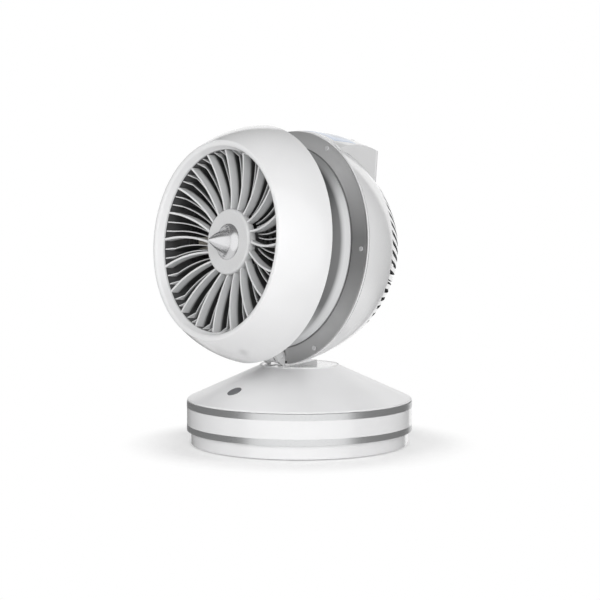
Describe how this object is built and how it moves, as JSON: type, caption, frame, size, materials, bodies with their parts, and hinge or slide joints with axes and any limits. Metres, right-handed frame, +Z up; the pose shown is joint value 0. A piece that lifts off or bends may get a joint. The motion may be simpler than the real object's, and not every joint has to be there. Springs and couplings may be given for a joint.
{
  "type": "turbine table fan heater",
  "caption": "Table fan heater with a round vaned outlet in a jet-engine style cowl, domed rear intake, tilting head and a round base that swings on its foot.",
  "frame": {"origin": "centre of the base, on the surface that the rubber feet stand on", "axes": "+Z up, front of the fan towards -Y, +X to the right when seen from the front"},
  "size_m": [0.266, 0.2688, 0.3626],
  "materials": {
    "white_plastic": "satin",
    "grey_plastic": "matte",
    "dark_plastic": "matte",
    "silver_trim": "satin",
    "steel": "satin",
    "cast_metal": "satin",
    "rubber": "matte",
    "board": "matte",
    "window": "gloss",
    "display": "gloss",
    "ceramic": "matte"
  },
  "bodies": {
    "foot": {"foot_tray": "white_plastic", "rubber_feet": "rubber", "pivot_post": "steel", "pivot_nut": "steel", "swing_gear": "dark_plastic", "glide_ring": "grey_plastic", "cord_gland": "rubber", "foot_screws": "steel"},
    "turntable": {"turntable_plate": "steel", "turntable_bush": "grey_plastic", "base_drum": "white_plastic", "lower_trim_band": "silver_trim", "upper_trim_band": "silver_trim", "base_cone": "white_plastic", "remote_window": "window", "receiver_board": "board", "swing_motor": "steel", "power_board": "board", "board_spacers": "grey_plastic", "base_screws": "steel", "neck_post": "steel", "neck_yoke": "white_plastic", "hinge_pin": "steel", "friction_washers": "dark_plastic"},
    "pinion": {"drive_pinion": "grey_plastic"},
    "head": {"head_stem": "white_plastic", "front_cowl": "white_plastic", "cowl_rear_cover": "white_plastic", "inner_duct": "silver_trim", "flange_ring": "silver_trim", "flange_screws": "steel", "seam_ring": "white_plastic", "rear_dome": "white_plastic", "control_pod": "white_plastic", "display_window": "display", "control_board": "board", "outlet_vanes": "white_plastic", "fine_grille": "grey_plastic", "hub_disc": "white_plastic", "nose_cone": "white_plastic", "fan_shroud": "dark_plastic", "stator_core": "steel", "motor_case": "cast_metal", "shaft_bearings": "steel", "motor_spider": "dark_plastic", "heater_frame": "dark_plastic", "heater_elements": "ceramic", "thermal_cutout": "dark_plastic"},
    "rotor": {"impeller": "dark_plastic", "motor_shaft": "steel", "impeller_nut": "grey_plastic", "rotor_core": "steel"},
    "power_button": {"power_button": "grey_plastic"},
    "mode_button": {"mode_button": "grey_plastic"},
    "speed_button": {"speed_button": "grey_plastic"},
    "timer_button": {"timer_button": "grey_plastic"},
    "swing_button": {"swing_button": "grey_plastic"}
  },
  "joints": [
    {"name": "swing", "type": "hinge", "parent": "foot", "child": "turntable", "pos_m": [0, 0, 0.018], "axis": [0, 0, 1], "range_deg": [-45, 45]},
    {"name": "pinion_spin", "type": "hinge", "parent": "turntable", "child": "pinion", "pos_m": [-0.04157, 0.024, 0.0102], "axis": [0, 0, 1], "range_deg": [-226, 226]},
    {"name": "tilt", "type": "hinge", "parent": "turntable", "child": "head", "pos_m": [0, -0.041, 0.103], "axis": [-1, 0, 0], "range_deg": [-8, 6]},
    {"name": "fan_spin", "type": "hinge", "parent": "head", "child": "rotor", "pos_m": [0, 0, 0.2239], "axis": [0, -0.9962, 0.0872], "continuous": true},
    {"name": "power_button_press", "type": "slide", "parent": "head", "child": "power_button", "axis": [0, -0.0872, -0.9962], "range_m": [0, 0.0008], "stiffness_N_per_m": 1500, "springref_m": -0.0003},
    {"name": "mode_button_press", "type": "slide", "parent": "head", "child": "mode_button", "axis": [0, -0.0872, -0.9962], "range_m": [0, 0.0008], "stiffness_N_per_m": 1500, "springref_m": -0.0003},
    {"name": "speed_button_press", "type": "slide", "parent": "head", "child": "speed_button", "axis": [0, -0.0872, -0.9962], "range_m": [0, 0.0008], "stiffness_N_per_m": 1500, "springref_m": -0.0003},
    {"name": "timer_button_press", "type": "slide", "parent": "head", "child": "timer_button", "axis": [0, -0.0872, -0.9962], "range_m": [0, 0.0008], "stiffness_N_per_m": 1500, "springref_m": -0.0003},
    {"name": "swing_button_press", "type": "slide", "parent": "head", "child": "swing_button", "axis": [0, -0.0872, -0.9962], "range_m": [0, 0.0008], "stiffness_N_per_m": 1500, "springref_m": -0.0003}
  ],
  "couplings": [
    {"joint": "pinion_spin", "follows": "swing", "ratio": 5}
  ]
}
